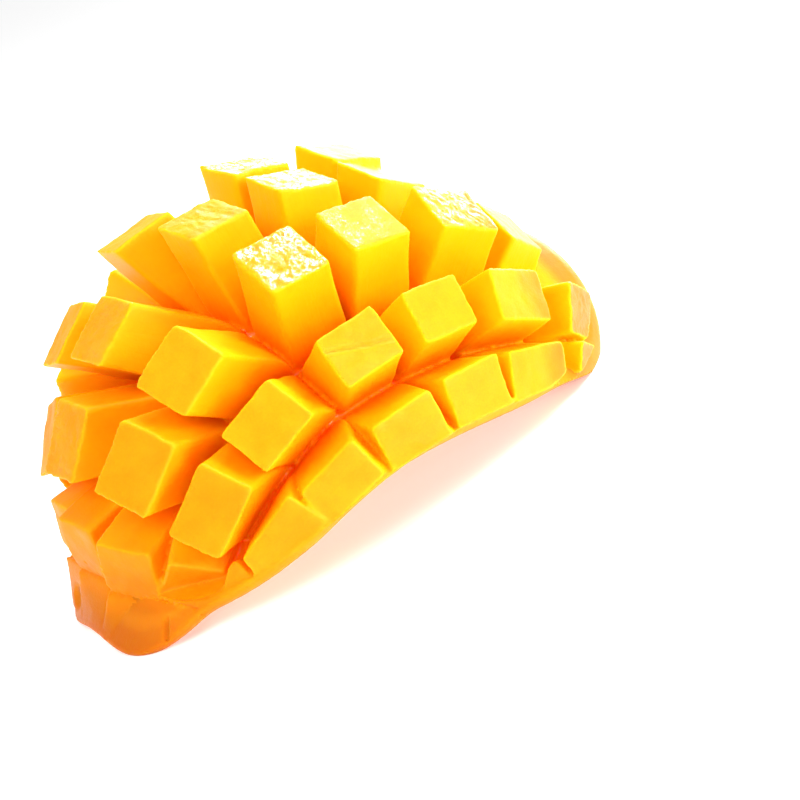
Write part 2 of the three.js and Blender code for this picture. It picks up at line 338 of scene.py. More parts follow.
@dataclass(frozen=True)
class TurnedHalf:
    """The half turned inside out: where the bent skin carries each point of the flat half."""

    flat: FlatHalf = field(default_factory=FlatHalf)
    start: float = -0.265
    along: float = 0.0072
    start_across: float = -0.19
    across: float = -0.036
    twist: float = -0.0032
    arch_angle: float = 1.68
    arch_width: float = 24.8
    far_curl: float = 0.9
    far_curl_from: float = 40.0
    fold_at: float = -4.6
    fold_width: float = 3.7
    fold_angle: float = 0.243
    fold_far_gain: float = 0.0042
    slant_along: float = -0.3
    slant_across: float = 0.055
    rest_about_x: float = 11.8
    rest_about_y: float = 6.6
    rest_offset: tuple[float, float, float] = (-8.0965, -3.5456, 38.9878)

    def skin_lengths(self, x: Array, y: Array) -> tuple[Array, Array]:
        """Measures along the skin, which is longer than the flat half.

        Args:
            x: Places along the flat half.
            y: Places across it.

        Returns:
            The lengths of skin from the line x = 0 and from the line y = 0 to each point.
        """
        flat = self.flat
        along = integrate(lambda v: np.hypot(1.0, flat.slopes(v, y[:, None])[0]), x)
        across = integrate(lambda v: np.hypot(1.0, flat.slopes(x[:, None], v)[1]), y)
        return along, across

    def fall_along(self, length: Array, y: Array) -> Array:
        """Works out how far the turned skin falls towards +X.

        Args:
            length: How far along the skin each point is.
            y: Where it is across the flat half.

        Returns:
            The angles.
        """
        turned = np.tanh((length - self.fold_at) / self.fold_width)
        fold = (self.fold_angle + self.fold_far_gain * y) * turned
        return self.start + self.along * length + self.twist * y + fold

    def fall_across(self, length: Array, x: Array) -> Array:
        """Works out how far the turned skin falls towards +Y.

        Args:
            length: How far across the skin each point is.
            x: Where it is along the flat half.

        Returns:
            The angles.
        """
        arch = self.arch_angle * np.tanh(length / self.arch_width)
        curl = self.far_curl * np.maximum(length / self.far_curl_from, 0.0) ** 3
        return self.start_across + self.across * length + self.twist * x + arch + curl

    def skin(self, x: Array, y: Array) -> Array:
        """Works out where the turned skin carries points at the bottom of the cuts.

        Args:
            x: Their places along the flat half.
            y: Their places across it.

        Returns:
            The points, before the piece is put to rest, of shape (points, 3).
        """
        along, across = self.skin_lengths(x, y)
        column_x, column_y = x[:, None], y[:, None]
        fallen = integrate(lambda v: np.sin(self.fall_along(v, column_y)), along)
        fallen_across = integrate(lambda v: np.sin(self.fall_across(v, column_x)), across)
        return np.stack(
            [
                integrate(lambda v: np.cos(self.fall_along(v, column_y)), along),
                integrate(lambda v: np.cos(self.fall_across(v, column_x)), across),
                self.twist * x * y - fallen - fallen_across,
            ],
            axis=1,
        )

    def tilts(self, x: Array, y: Array, stance: Stance = EVEN) -> Array:
        """Works out how the skin tilts the flesh standing on it.

        Args:
            x: Places along the flat half.
            y: Places across it.
            stance: How the flesh stands off the even fan.

        Returns:
            Axis-angle vectors, of shape (points, 3).
        """
        slope_along, slope_across = self.flat.slopes(x, y)
        along, across = self.skin_lengths(x, y)
        tilt_along = np.arctan(slope_along) + self.fall_along(along, y) + math.radians(stance.along)
        tilt_across = np.arctan(slope_across) + self.fall_across(across, x) + math.radians(stance.across)
        return np.stack([-tilt_across, tilt_along, np.zeros_like(x)], axis=1)

    def slanted(self, height: Array) -> Array:
        """Returns how far the slant of the cuts moves flesh sideways at each height above the skin."""
        return np.stack([self.slant_along * height, self.slant_across * height, 0.0 * height], axis=1)

    def bent(self, x: Array, y: Array, depth: Array) -> Array:
        """Works out where flesh goes that bends evenly with the skin.

        Args:
            x: Places along the flat half.
            y: Places across it.
            depth: Depths below the cut face.

        Returns:
            The points, before the piece is put to rest.
        """
        height = self.flat.cut_depth(x, y) - depth
        up = self.slanted(height)
        up[:, 2] = height
        return rotate(self.tilts(x, y), up) + self.skin(x, y)

    def skin_normal(self, x: Array, y: Array) -> Array:
        """Works out which way the turned skin faces.

        Args:
            x: Places along the flat half.
            y: Places across it.

        Returns:
            Normals on its flesh side, of shape (points, 3).
        """
        step = self.flat.step
        along = self.skin(x + step, y) - self.skin(x - step, y)
        across = self.skin(x, y + step) - self.skin(x, y - step)
        normal = np.cross(along, across)
        return normal / np.linalg.norm(normal, axis=1, keepdims=True)

    def at_rest(self, points: Array) -> Array:
        """Puts points of the turned half into the frame of the resting piece.

        Args:
            points: The points, of shape (points, 3).

        Returns:
            The same points at rest.
        """
        about_x = Matrix.Rotation(math.radians(self.rest_about_x), 3, "X")
        about_y = Matrix.Rotation(math.radians(self.rest_about_y), 3, "Y")
        return points @ np.array(about_y @ about_x).T + np.array(self.rest_offset)


@dataclass
class Patch:
    """A closed mesh in the making, with what the finishes need to know at each vertex.

    Attributes:
        points: Vertices in millimetres, of shape (vertices, 3).
        triangles: Vertex numbers, of shape (triangles, 3).
        place: The same vertices in the flat half, for textures.
        look: Height above the root, share of cut face, tone and wetness, each from 0 to 1.
        skin: 1 on the outside of the skin and 0 on the flesh.
    """

    points: Array
    triangles: Array
    place: Array
    look: Array
    skin: Array


def closed_triangles(rings: int, count: int) -> Array:
    """Returns the triangles of rings of points, closed by a point above and a point below.

    Args:
        rings: Number of rings, whose points come first, ring by ring.
        count: Number of points in each ring.

    Returns:
        Vertex numbers of shape (triangles, 3). The upper point follows the rings, then the lower.
    """
    upper = np.arange((rings - 1) * count).reshape(rings - 1, count)
    lower = upper + count
    upper_next, lower_next = np.roll(upper, -1, axis=1), np.roll(lower, -1, axis=1)
    first, last = np.arange(count), np.arange(count) + (rings - 1) * count
    above, below = np.full(count, rings * count), np.full(count, rings * count + 1)
    groups = [
        np.stack([upper, lower, lower_next], axis=-1),
        np.stack([upper, lower_next, upper_next], axis=-1),
        np.stack([above, first, np.roll(first, -1)], axis=-1),
        np.stack([below, np.roll(last, -1), last], axis=-1),
    ]
    return np.concatenate([group.reshape(-1, 3) for group in groups])


def clip(polygon: list[Array], axis: int, limit: float, sign: float) -> list[Array]:
    """Keeps the part of a polygon on one side of a line.

    Args:
        polygon: Its corners.
        axis: 0 for a line along Y, 1 for a line along X.
        limit: Where the line is.
        sign: 1 to keep what is below the limit, -1 to keep what is above it.

    Returns:
        The corners of what is left.
    """
    kept = []
    for index, point in enumerate(polygon):
        other = polygon[(index + 1) % len(polygon)]
        here, there = sign * (limit - point[axis]), sign * (limit - other[axis])
        if here >= 0:
            kept.append(point)
        if here * there < 0:
            kept.append(point + (other - point) * here / (here - there))
    return kept


def measure(polygon: Sequence[Array]) -> tuple[Array, float]:
    """Measures a polygon.

    Args:
        polygon: Its corners.

    Returns:
        Its centre and its area.
    """
    here = np.array(polygon)
    there = np.roll(here, -1, axis=0)
    cross = here[:, 0] * there[:, 1] - there[:, 0] * here[:, 1]
    area = cross.sum() / 2.0
    return ((here + there) * cross[:, None]).sum(axis=0) / (6.0 * area), area


@dataclass(frozen=True)
class Cube:
    """One cube of flesh, with rounded edges, uneven walls and a root that bends with the skin.

    Attributes:
        half: The turned half that carries it.
        row: Its row, from 0 at the near rim.
        column: Its column, from 0 at the stem tip.
        footprint: Its outline in the flat half, of shape (corners, 2).
    """

    half: TurnedHalf
    row: int
    column: int
    footprint: Array
    middle_from: float = -46.0
    score_width: float = 0.45
    score_depth: float = 0.5
    spacing: float = 1.0
    sample: float = 0.1
    corner: float = 0.4
    edge_band: float = 0.8
    face_rings: int = 8
    walls: int = 16
    root_depth: float = 1.0
    root_sharpness: int = 4
    soft_depth: float = 2.5
    stiff_depth: float = 8.0
    wall_wander: float = 0.22
    wall_wave: float = 7.0
    edge_wander: float = 0.2
    edge_wave: float = 2.2
    edge_fade: float = 1.4
    tone_drift: float = 0.2
    swell: float = 0.22
    swell_wave: float = 8.0
    pucker: float = 0.07
    pucker_wave: float = 2.6
    crack_across: tuple[float, float] = (0.35, 0.94)
    crack_width: float = 0.4
    crack_depth: float = 0.35
    fibre_wave: float = 1.3
    fibre_height: float = 0.17
    wrinkle_height: float = 0.12

    @property
    def stance(self) -> Stance:
        """Returns how this cube stands."""
        return STANCES.get((self.row, self.column), EVEN_FAR if self.row == FAR_ROW else EVEN)

    @property
    def cut_face(self) -> CutFace:
        """Returns the look of its cut face."""
        return CUT_FACES.get((self.row, self.column), CutFace.SMOOTH)

    @property
    def seed(self) -> float:
        """Returns a number of its own, for its noise."""
        return 3.1 * self.row + 17.3 * self.column

    def middle(self) -> Array:
        """Returns the middle of the part that stands up, without the band at the stem tip."""
        return measure(clip(list(self.footprint), 0, self.middle_from, -1))[0]

    def loop(self) -> Array:
        """Rounds the corners of the footprint.

        Returns:
            Points of its outline at an even spacing, of shape (points, 2).
        """
        closed = np.vstack([self.footprint, self.footprint[:1]])
        lengths = np.concatenate([[0.0], np.cumsum(np.linalg.norm(np.diff(closed, axis=0), axis=1))])
        dense = int(lengths[-1] / self.sample)
        places = np.arange(dense) * lengths[-1] / dense
        points = np.stack([np.interp(places, lengths, closed[:, axis]) for axis in (0, 1)], axis=1)
        reach = int(3 * self.corner / self.sample)
        offsets = range(-reach, reach + 1)
        weights = np.exp(-0.5 * (np.array(offsets) * self.sample / self.corner) ** 2)
        rounded = sum(w * np.roll(points, k, axis=0) for k, w in zip(offsets, weights / weights.sum()))
        picks = np.linspace(0, dense, int(lengths[-1] / self.spacing), endpoint=False)
        return rounded[picks.astype(int)]

    def tone(self) -> float:
        """Returns how orange the cube is, from 0 for yellow to 1 for deep orange."""
        drift = self.tone_drift * noise.noise(Vector((self.seed, 2.0, 5.0)))
        return float(self.half.flat.tone(self.middle()[0], drift))

    def rings(self) -> tuple[Array, Array, Array]:
        """Lays the rings of points out in the flat half, from the middle of the face to the root.

        Returns:
            The points' places (points, 2), their depths and their share of cut face.
        """
        flat = self.half.flat
        middle, loop = self.middle(), self.loop()
        depths = flat.cut_depth(loop[:, 0], loop[:, 1])
        radius = float(np.linalg.norm(loop - middle, axis=1).mean())
        inner = 1.0 - self.edge_band / radius
        band = np.minimum(self.edge_band, 0.4 * depths)
        shares = np.linspace(0.0, inner, self.face_rings + 1)[1:]
        steps = [(scale, 0.0 * depths, 1.0) for scale in shares]
        steps.append((1.0, 0.0 * depths, 0.5))
        for level in np.linspace(0.0, 1.0, self.walls + 1):
            steps.append((1.0, band + (depths + self.root_depth - band) * level, 0.0))
        spots = [middle + (loop - middle) * scale for scale, _, _ in steps] + [middle[None], middle[None]]
        deepest = float(flat.cut_depth(middle[:1], middle[1:])[0]) + self.root_depth
        depth = np.concatenate([below for _, below, _ in steps] + [[0.0, deepest]])
        face = np.concatenate([np.full(len(loop), share) for _, _, share in steps] + [[1.0, 0.0]])
        return np.vstack(spots), depth, face

    def standing(self, x: Array, y: Array, depth: Array) -> Array:
        """Returns points of the cube where its flesh is thick and stands as a block.

        Args:
            x: Places along the flat half.
            y: Places across it.
            depth: Depths below the cut face.

        Returns:
            The points, before the piece is put to rest.
        """
        flat, half, middle = self.half.flat, self.half, self.middle()
        deep = float(flat.cut_depth(middle[:1], middle[1:])[0])
        level = np.clip(depth / flat.cut_depth(x, y), 0.0, 1.0)
        spin = math.radians(self.stance.turn)
        side_x, side_y = x - middle[0], y - middle[1]
        block = half.slanted(deep * (1.0 - level))
        block[:, 0] += side_x * math.cos(spin) - side_y * math.sin(spin)
        block[:, 1] += side_x * math.sin(spin) + side_y * math.cos(spin)
        block[:, 2] = deep - depth + self.stance.rise * (1.0 - level)
        tilt = half.tilts(middle[:1], middle[1:], self.stance)
        return rotate(np.repeat(tilt, len(x), axis=0), block) + half.skin(middle[:1], middle[1:])

    def banded(self, x: Array, y: Array, level: Array) -> Array:
        """Returns points of the band at the stem tip, which runs straight from the cube to the rim.

        Args:
            x: Places along the flat half.
            y: Places across it.
            level: Shares of the way down from the cut face to the skin.

        Returns:
            The points, before the piece is put to rest.
        """
        flat, ones = self.half.flat, np.ones(len(x))
        edge = self.standing(flat.band_from * ones, y, 0.0 * ones)
        rim = self.half.bent(flat.band_to * ones, y, 0.0 * ones)
        share = np.clip((x - flat.band_from) / (flat.band_to - flat.band_from), 0.0, 1.0)[:, None]
        root = self.half.bent(x, y, flat.cut_depth(x, y))
        return (edge * (1.0 - share) + rim * share) * (1.0 - level[:, None]) + root * level[:, None]

    def build(self) -> Patch:
        """Builds the cube's closed mesh.

        Returns:
            The cube in the frame of the resting piece.
        """
        flat, half = self.half.flat, self.half
        spots, depth, face = self.rings()
        here = flat.cut_depth(spots[:, 0], spots[:, 1])
        level = np.clip(depth / here, 0.0, 1.0)
        softness = 1.0 - smoothstep(here, self.soft_depth, self.stiff_depth)
        place = np.column_stack([spots, -depth])
        shift = wander(place, self.wall_wave, self.seed) * self.wall_wander
        near_edge = np.exp(-((depth / self.edge_fade) ** 2))[:, None]
        shift += wander(place, self.edge_wave, self.seed) * self.edge_wander * near_edge
        shift *= ((1.0 - softness) * (1.0 - level**3))[:, None]
        x, y = spots[:, 0] + shift[:, 0], spots[:, 1] + shift[:, 1]
        depth = depth + np.where(face > 0.4, shift[:, 2], 0.0)

        below = np.maximum(depth - here, 0.0)[:, None]
        root = half.bent(x, y, np.minimum(depth, here)) - below * half.skin_normal(x, y)
        weight = np.maximum(level**self.root_sharpness, softness)[:, None]
        points = self.standing(x, y, depth) * (1.0 - weight) + root * weight
        in_band = (x < flat.band_from) & (level < 1.0)
        points[in_band] = self.banded(x[in_band], y[in_band], level[in_band])
        face = face * (1.0 - softness) + 0.9 * (level < 0.5) * softness

        count = len(self.loop())
        tone = np.full(len(x), self.tone())
        wet = np.full(len(x), self.cut_face.wetness)
        look = np.stack([1.0 - level, face, tone, wet], axis=1)
        triangles = closed_triangles((len(x) - 2) // count, count)
        return Patch(half.at_rest(points), triangles, place, look, np.zeros(len(x)))

    def relief(self, place: Array) -> Array:
        """Shapes the cut face.

        Args:
            place: Places on it in the flat half, of shape (points, 3).

        Returns:
            How far it stands above its plane.
        """
        level = place * np.array([1.0, 1.0, 0.0])
        crown = self.swell * ripple(level, self.swell_wave, self.seed)
        crown += self.pucker * ripple(level, self.pucker_wave, self.seed)
        from_score = (place[:, 0] - self.half.flat.band_from) / self.score_width
        crown -= self.score_depth * np.exp(-(from_score**2))
        kind = self.cut_face
        if kind is CutFace.SPLIT:
            middle, (along_x, along_y) = self.middle(), self.crack_across
            across = (place[:, 0] - middle[0]) * along_x + (place[:, 1] - middle[1]) * along_y
            across += 0.5 * ripple(level, 4.0, 9.0)
            crown -= self.crack_depth * np.exp(-((across / self.crack_width) ** 2))
        if kind in (CutFace.WET, CutFace.FINE):
            height = self.fibre_height if kind is CutFace.WET else self.wrinkle_height
            bent = level + 1.4 * wander(level, 3.5, self.seed)
            stretched = bent * np.array([1.0, 0.7, 1.0])
            folds = 1.0 - 2.4 * np.abs(ripple(stretched, self.fibre_wave, self.seed))
            crown += height * (folds - 0.6)
        return crown


@dataclass(frozen=True)
class SkinAndWeb:
    """The skin and the thin web of flesh on it, whose rim rises to the cut face."""

    half: TurnedHalf
    rings: int = 60
    spokes: int = 288
    edge_rings: int = 3
    skin_thick: float = 3.0
    rim_thick: float = 1.2
    web_thick: float = 0.8
    rim_from: float = 0.84
    near_rim: float = 0.985
    bulge: float = 0.35

    def upper(self, where: Array, share: float) -> tuple[Array, Array]:
        """Works out the web's flesh side.

        Args:
            where: Places in the flat half, of shape (points, 2).
            share: Their share of the way from the middle to the rim.

        Returns:
            The points, and how far down the cuts they are, as a share.
        """
        depth = self.half.flat.cut_depth(where[:, 0], where[:, 1])
        below = (depth - self.web_thick) * (1.0 - float(smoothstep(share, self.rim_from, 1.0)))
        return self.half.bent(where[:, 0], where[:, 1], below), below / depth

    def lower(self, where: Array, share: float) -> Array:
        """Works out the outside of the skin.

        Args:
            where: Places in the flat half, of shape (points, 2).
            share: Their share of the way from the middle to the rim.

        Returns:
            The points.
        """
        rim = float(smoothstep(share, self.rim_from, 1.0))
        thick = self.skin_thick + (self.rim_thick - self.skin_thick) * rim
        x, y = where[:, 0], where[:, 1]
        return self.half.skin(x, y) - thick * self.half.skin_normal(x, y)

    def edge(self, angles: Array) -> list[Array]:
        """Rounds the rim off.

        Args:
            angles: Angles about the middle, in radians.

        Returns:
            Rings of points, from its flesh side to its skin side.
        """
        flat = self.half.flat
        rim, inside = flat.oval(angles, 1.0), flat.oval(angles, self.near_rim)
        top, bottom = self.upper(rim, 1.0)[0], self.lower(rim, 1.0)
        outward = top - self.upper(inside, self.near_rim)[0] + bottom - self.lower(inside, self.near_rim)
        outward /= np.linalg.norm(outward, axis=1, keepdims=True)
        shares = [step / (self.edge_rings + 1) for step in range(1, self.edge_rings + 1)]
        reach = self.bulge * self.rim_thick
        return [top * (1 - s) + bottom * s + outward * math.sin(math.pi * s) * reach for s in shares]

    def build(self) -> Patch:
        """Builds the closed mesh of the skin and its web.

        Returns:
            The skin and the web in the frame of the resting piece.
        """
        flat = self.half.flat
        angles = np.arange(self.spokes) * 2 * math.pi / self.spokes
        shares = np.linspace(0, 1, self.rings + 1)[1:]
        middle = np.array([[flat.middle_x, flat.middle_y]])
        parts = []
        for share in shares:
            where = flat.oval(angles, share)
            parts.append((where, *self.upper(where, share), 0.0))
        for step, ring in enumerate(self.edge(angles), start=1):
            none = np.zeros(self.spokes)
            parts.append((flat.oval(angles, 1.0), ring, none, step / (self.edge_rings + 1)))
        for share in reversed(shares):
            where = flat.oval(angles, share)
            parts.append((where, self.lower(where, share), np.ones(self.spokes), 1.0))
        parts.append((middle, *self.upper(middle, 0.0), 0.0))
        parts.append((middle, self.lower(middle, 0.0), np.ones(1), 1.0))

        where = np.vstack([part[0] for part in parts])
        points = np.vstack([part[1] for part in parts])
        level = np.concatenate([part[2] for part in parts])
        skin = np.concatenate([np.full(len(part[0]), part[3]) for part in parts])
        place = np.column_stack([where, -level * flat.cut_depth(where[:, 0], where[:, 1])])
        face = 0.9 * smoothstep(level, 0.6, 0.2)
        look = np.column_stack([1.0 - level, face, flat.tone(where[:, 0]), np.zeros(len(where))])
        triangles = closed_triangles(2 * self.rings + self.edge_rings, self.spokes)
        return Patch(self.half.at_rest(points), triangles, place, look, skin)


class Survey:
    """What the patches know, at any point of the surface that they are joined into."""

    def __init__(self, patches: Sequence[Patch]) -> None:
        """Gathers the patches.

        Args:
            patches: The patches, of which the first is the skin and its web.
        """
        starts = np.cumsum([0] + [len(patch.points) for patch in patches[:-1]])
        self.points = np.vstack([patch.points for patch in patches]) * MM
        self.triangles = np.vstack([patch.triangles + start for patch, start in zip(patches, starts)])
        self.owner = np.repeat(np.arange(len(patches)), [len(patch.triangles) for patch in patches])
        columns = [np.column_stack([patch.place, patch.look, patch.skin]) for patch in patches]
        self.values = np.vstack(columns)
        self.tree = BVHTree.FromPolygons(self.points.tolist(), self.triangles.tolist())

    def look_up(self, points: Array) -> tuple[Array, Array]:
        """Reads the patches at the nearest place to each point.

        Args:
            points: Points in metres, of shape (points, 3).

        Returns:
            Place, look and skin in 8 columns, and the number of the patch.
        """
        found = [self.tree.find_nearest(point) for point in points.tolist()]
        spots = np.array([spot for spot, _, _, _ in found])
        indices = np.array([index for _, _, index, _ in found])
        corners = self.triangles[indices]
        first, second, third = (self.points[corners[:, k]] for k in range(3))
        normal = np.cross(second - first, third - first)
        size = np.maximum((normal**2).sum(axis=1), 1e-30)
        toward_third = (np.cross(second - first, spots - first) * normal).sum(axis=1) / size
        toward_second = (np.cross(spots - first, third - first) * normal).sum(axis=1) / size
        shares = np.stack([1.0 - toward_second - toward_third, toward_second, toward_third], axis=1)
        values = (self.values[corners] * shares[:, :, None]).sum(axis=1)
        return values, self.owner[indices]


@dataclass(frozen=True)
class MangoHalf:
    """The whole piece: skin, web and every cube, joined into one surface."""

    half: TurnedHalf = field(default_factory=TurnedHalf)
    rim_inset: tuple[float, float, float, float] = (2.0, 2.5, 1.0, 1.5)
    smallest_face: float = 14.0
    face_corners: int = 72
    grain: float = 0.42
    softening: int = 4
    triangles: int = 190_000

    def cubes(self) -> list[Cube]:
        """Cuts the flat half up.

        Returns:
            Every cube of the grid that has enough of a face inside the rim.
        """
        flat = self.half.flat
        angles = np.arange(self.face_corners) * 2 * math.pi / self.face_corners
        face = list(flat.oval(angles, 1.0, self.rim_inset))
        gap = flat.cut_width / 2
        across = (-math.inf, *flat.cuts_across, math.inf)
        along = (-math.inf, *flat.cuts_along, math.inf)
        found = []
        for column in range(len(across) - 1):
            for row in range(len(along) - 1):
                outline = face
                for axis, cuts, place in ((0, across, column), (1, along, row)):
                    if cuts[place] > -math.inf:
                        outline = clip(outline, axis, cuts[place] + gap, -1)
                    if cuts[place + 1] < math.inf:
                        outline = clip(outline, axis, cuts[place + 1] - gap, 1)
                if len(outline) > 2 and measure(outline)[1] >= self.smallest_face:
                    found.append(Cube(self.half, row, column, np.array(outline)))
        return found

    @staticmethod
    def places(mesh: bpy.types.Mesh) -> Array:
        """Reads the vertices of a mesh.

        Args:
            mesh: The mesh.

        Returns:
            Its vertices, of shape (vertices, 3).
        """
        values = np.empty(len(mesh.vertices) * 3)
        mesh.vertices.foreach_get("co", values)
        return values.reshape(-1, 3)

    @staticmethod
    def apply(piece: bpy.types.Object) -> None:
        """Replaces an object's mesh by what its modifiers make of it.

        Args:
            piece: The object.
        """
        bpy.context.view_layer.update()
        graph = bpy.context.evaluated_depsgraph_get()
        made = bpy.data.meshes.new_from_object(piece.evaluated_get(graph))
        piece.modifiers.clear()
        old = piece.data
        piece.data = made
        bpy.data.meshes.remove(old)

    def carve(self, mesh: bpy.types.Mesh, survey: Survey, cubes: Sequence[Cube]) -> None:
        """Gives the cut faces their relief.

        Args:
            mesh: The joined mesh.
            survey: What the patches know.
            cubes: The cubes, in the order of their patches.
        """
        points = self.places(mesh)
        normals = np.empty(len(points) * 3)
        mesh.vertices.foreach_get("normal", normals)
        values, owner = survey.look_up(points)
        on_flesh = (values[:, 7] < 0.1) * smoothstep(values[:, 4], 0.2, 0.7)
        lift = -self.half.flat.tip_marks(values) * on_flesh
        for number, cube in enumerate(cubes, start=1):
            on_face = np.nonzero((owner == number) & (values[:, 4] > 0.3))[0]
            if len(on_face):
                share = smoothstep(values[on_face, 4], 0.3, 0.9)
                lift[on_face] += cube.relief(values[on_face, :3]) * share
        points += normals.reshape(-1, 3) * (lift * MM)[:, None]
        points[:, 2] = np.maximum(points[:, 2], 0.0)
        mesh.vertices.foreach_set("co", points.ravel())
        mesh.update()

    def build(self) -> bpy.types.Object:
        """Joins the patches and writes what the finishes need onto the result.

        Returns:
            The finished object, without materials.
        """
        cubes = self.cubes()
        survey = Survey([SkinAndWeb(self.half).build()] + [cube.build() for cube in cubes])
        LOG.info("%d cubes, %d vertices in their patches", len(cubes), len(survey.points))
        mesh = bpy.data.meshes.new("patches")
        mesh.from_pydata(survey.points.tolist(), [], survey.triangles.tolist())
        piece = bpy.data.objects.new("mango_half_flesh_and_skin", mesh)
        bpy.context.scene.collection.objects.link(piece)
        merge = piece.modifiers.new("merge", "REMESH")
        merge.mode = "VOXEL"
        merge.voxel_size = self.grain * MM
        soften = piece.modifiers.new("soften", "SMOOTH")
        soften.factor = 0.5
        soften.iterations = self.softening
        self.apply(piece)
        LOG.info("joined: %d faces", len(piece.data.polygons))
        self.carve(piece.data, survey, cubes)
        thin = piece.modifiers.new("thin", "DECIMATE")
        thin.ratio = self.triangles / (2 * len(piece.data.polygons))
        self.apply(piece)
        LOG.info("finished: %d faces", len(piece.data.polygons))
        self.write_looks(piece.data, survey)
        return piece

    def write_looks(self, mesh: bpy.types.Mesh, survey: Survey) -> None:
        """Writes what the patches know onto the finished mesh.

        Args:
            mesh: The finished mesh.
            survey: What the patches know.
        """
        values = survey.look_up(self.places(mesh))[0].astype(np.float32)
        # The stem hollow loses its height above the root and its face share, so it takes the deep orange
        # painted shade of the valleys and the juice of the seams.
        hollow = self.half.flat.stem_hollow(values) * (values[:, 7] < 0.5)
        values[:, 3:5] *= (1.0 - hollow)[:, None]
        place = mesh.attributes.new("flat", "FLOAT_VECTOR", "POINT")
        place.data.foreach_set("vector", np.ascontiguousarray(values[:, :3]).ravel())
        look = mesh.attributes.new("look", "FLOAT_COLOR", "POINT")
        look.data.foreach_set("color", np.ascontiguousarray(values[:, 3:7]).ravel())
        skin = mesh.attributes.new("skin", "FLOAT", "POINT")
        skin.data.foreach_set("value", np.ascontiguousarray(values[:, 7]))
        mesh.shade_smooth()


class Value:
    """A number or colour that comes out of a node, with arithmetic that adds the nodes it needs."""

    def __init__(self, nodes: NodeSheet, socket: bpy.types.NodeSocket) -> None:
        """Wraps one output socket of a sheet's nodes."""
        self.nodes = nodes
        self.socket = socket

    def maths(self, operation: str, *inputs: Value | float) -> Value:
        """Returns the result of a Math node on these inputs."""
        return self.nodes.add("ShaderNodeMath", {"operation": operation}, dict(enumerate(inputs))).out(0)

    def __add__(self, other: Value | float) -> Value:
        """Returns the sum."""
        return self.maths("ADD", self, other)

    __radd__ = __add__

    def __sub__(self, other: Value | float) -> Value:
        """Returns the difference."""
        return self.maths("SUBTRACT", self, other)

    def __rsub__(self, other: float) -> Value:
        """Returns the difference from a number."""
        return self.maths("SUBTRACT", other, self)

    def __mul__(self, other: Value | float) -> Value:
        """Returns the product."""
        return self.maths("MULTIPLY", self, other)

    __rmul__ = __mul__

    def __truediv__(self, other: Value | float) -> Value:
        """Returns the quotient."""
        return self.maths("DIVIDE", self, other)

    def __abs__(self) -> Value:
        """Returns the size without the sign."""
        return self.maths("ABSOLUTE", self)

    def between(self, low: float, high: float) -> Value:
        """Limits the value by a smooth step.

        Args:
            low: Where the step starts.
            high: Where it ends.

        Returns:
            0 below low, 1 above high and a smooth step between them.
        """
        settings = {"interpolation_type": "SMOOTHSTEP"}
        inputs = {"Value": self, "From Min": low, "From Max": high}
        return self.nodes.add("ShaderNodeMapRange", settings, inputs).out("Result")


class Added:
    """A node that was added to a sheet."""

    def __init__(self, nodes: NodeSheet, node: bpy.types.Node) -> None:
        """Wraps a node."""
        self.nodes = nodes
        self.node = node

    def out(self, name: int | str) -> Value:
        """Returns one of the node's outputs."""
        return Value(self.nodes, self.node.outputs[name])


